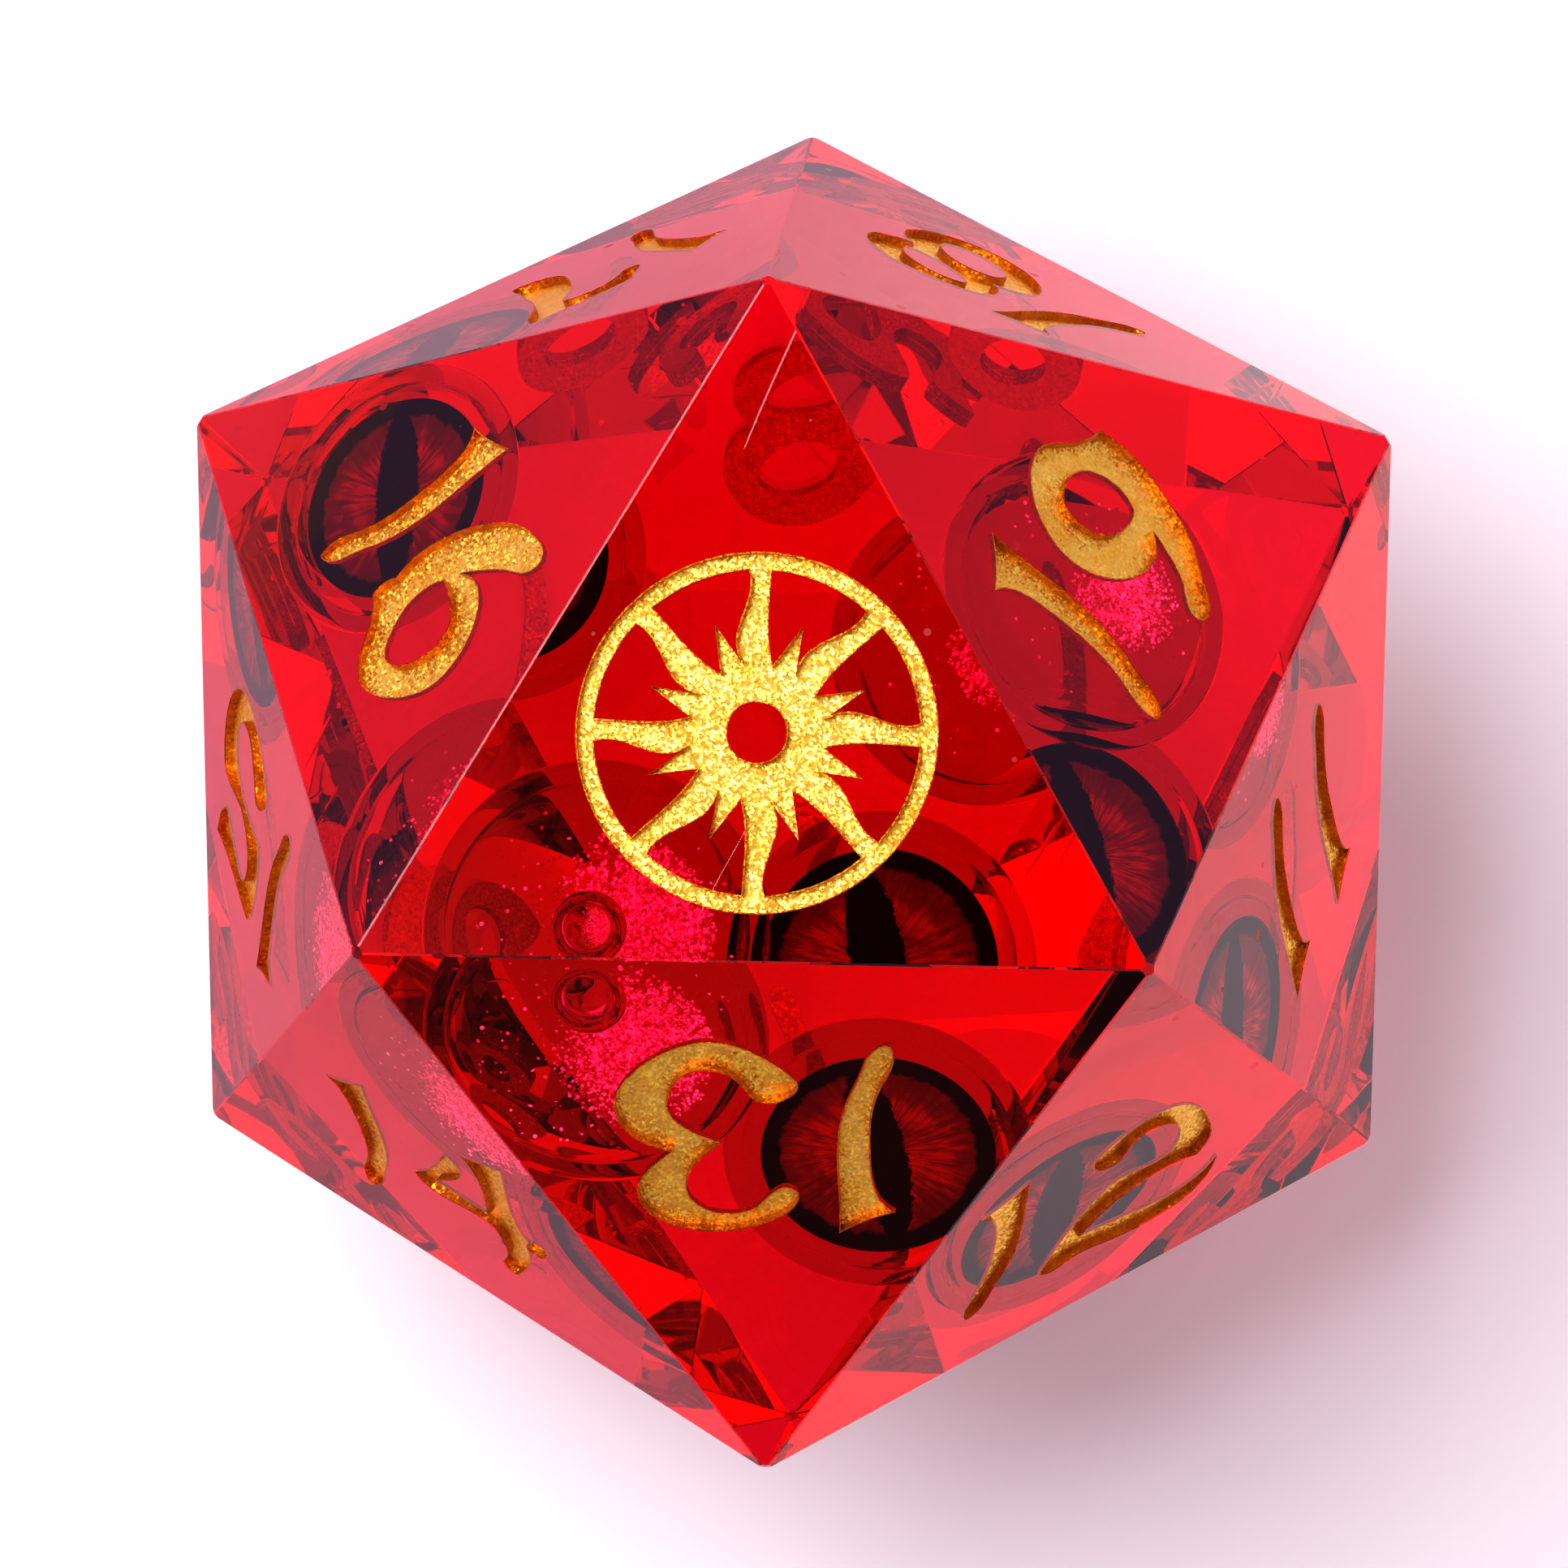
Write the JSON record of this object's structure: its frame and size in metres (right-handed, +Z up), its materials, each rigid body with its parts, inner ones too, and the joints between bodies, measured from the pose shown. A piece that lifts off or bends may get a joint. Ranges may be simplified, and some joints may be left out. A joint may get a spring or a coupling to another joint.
{
  "type": "countdown twenty-sided die",
  "caption": "Large clear resin countdown die with recessed gold numerals and an ornamented top face, holding sealed liquid capsules with glitter and floating printed eye balls.",
  "frame": {"origin": "centre of the face the die rests on, which carries the 1", "axes": "+Z up through the opposite, ornamented face; +Y towards the corner at the top of that face; +X to the right of it as it is read"},
  "size_m": [0.0588, 0.0676, 0.055],
  "materials": {
    "red_resin": "clear cast resin, polished",
    "gold_paint": "gold paint with fine metallic flake",
    "clear_shell": "clear, moulded",
    "clear_liquid": "clear liquid",
    "pink_glitter": "metallised film glitter",
    "clear_lens": "clear, polished",
    "printed_iris": "printed disc",
    "dark_weight": "matt"
  },
  "bodies": {
    "die": {"capsule_a_plug": "clear_shell", "capsule_a_shell_lower": "clear_shell", "capsule_a_shell_upper": "clear_shell", "capsule_b_plug": "clear_shell", "capsule_b_shell_lower": "clear_shell", "capsule_b_shell_upper": "clear_shell", "eye_a_plug": "clear_shell", "eye_a_shell_lower": "clear_shell", "eye_a_shell_upper": "clear_shell", "eye_b_plug": "clear_shell", "eye_b_shell_lower": "clear_shell", "eye_b_shell_upper": "clear_shell", "paint_01_digit": "gold_paint", "paint_02_digit": "gold_paint", "paint_03_digit": "gold_paint", "paint_04_digit": "gold_paint", "paint_05_digit": "gold_paint", "paint_06_bar": "gold_paint", "paint_06_digit": "gold_paint", "paint_07_digit": "gold_paint", "paint_08_digit": "gold_paint", "paint_09_bar": "gold_paint", "paint_09_digit": "gold_paint", "paint_10_tens": "gold_paint", "paint_10_units": "gold_paint", "paint_11_tens": "gold_paint", "paint_11_units": "gold_paint", "paint_12_tens": "gold_paint", "paint_12_units": "gold_paint", "paint_13_tens": "gold_paint", "paint_13_units": "gold_paint", "paint_14_tens": "gold_paint", "paint_14_units": "gold_paint", "paint_15_tens": "gold_paint", "paint_15_units": "gold_paint", "paint_16_tens": "gold_paint", "paint_16_units": "gold_paint", "paint_17_tens": "gold_paint", "paint_17_units": "gold_paint", "paint_18_tens": "gold_paint", "paint_18_units": "gold_paint", "paint_19_tens": "gold_paint", "paint_19_units": "gold_paint", "paint_20_ornament": "gold_paint", "resin_body": "red_resin"},
    "capsule_a_fill": {"capsule_a_liquid": "clear_liquid"},
    "capsule_a_glitter_bed": {"capsule_a_glitter": "pink_glitter"},
    "capsule_b_fill": {"capsule_b_liquid": "clear_liquid"},
    "capsule_b_glitter_bed": {"capsule_b_glitter": "pink_glitter"},
    "eye_a_fill": {"eye_a_liquid": "clear_liquid"},
    "eye_a_float": {"eye_a_lens": "clear_lens", "eye_a_iris": "printed_iris", "eye_a_weight": "dark_weight"},
    "eye_b_fill": {"eye_b_liquid": "clear_liquid"},
    "eye_b_float": {"eye_b_lens": "clear_lens", "eye_b_iris": "printed_iris", "eye_b_weight": "dark_weight"}
  },
  "joints": [
    {"name": "capsule_a_roll", "type": "hinge", "parent": "die", "child": "capsule_a_fill", "pos_m": [-0.00819, -0.00858, 0.03569], "axis": [1, 0, 0], "continuous": true},
    {"name": "capsule_a_swirl", "type": "hinge", "parent": "capsule_a_fill", "child": "capsule_a_glitter_bed", "pos_m": [-0.00819, -0.00858, 0.03569], "axis": [0, 0, 1], "continuous": true},
    {"name": "capsule_b_roll", "type": "hinge", "parent": "die", "child": "capsule_b_fill", "pos_m": [0.01018, 0.00572, 0.0324], "axis": [1, 0, 0], "continuous": true},
    {"name": "capsule_b_swirl", "type": "hinge", "parent": "capsule_b_fill", "child": "capsule_b_glitter_bed", "pos_m": [0.01018, 0.00572, 0.0324], "axis": [0, 0, 1], "continuous": true},
    {"name": "eye_a_roll", "type": "hinge", "parent": "die", "child": "eye_a_fill", "pos_m": [0.00479, -0.00919, 0.01589], "axis": [1, 0, 0], "continuous": true},
    {"name": "eye_a_turn", "type": "hinge", "parent": "eye_a_fill", "child": "eye_a_float", "pos_m": [0.00479, -0.00919, 0.01589], "axis": [0, 0, 1], "continuous": true},
    {"name": "eye_b_roll", "type": "hinge", "parent": "die", "child": "eye_b_fill", "pos_m": [-0.01408, 0.01029, 0.02448], "axis": [1, 0, 0], "continuous": true},
    {"name": "eye_b_turn", "type": "hinge", "parent": "eye_b_fill", "child": "eye_b_float", "pos_m": [-0.01408, 0.01029, 0.02448], "axis": [0, 0, 1], "continuous": true}
  ]
}
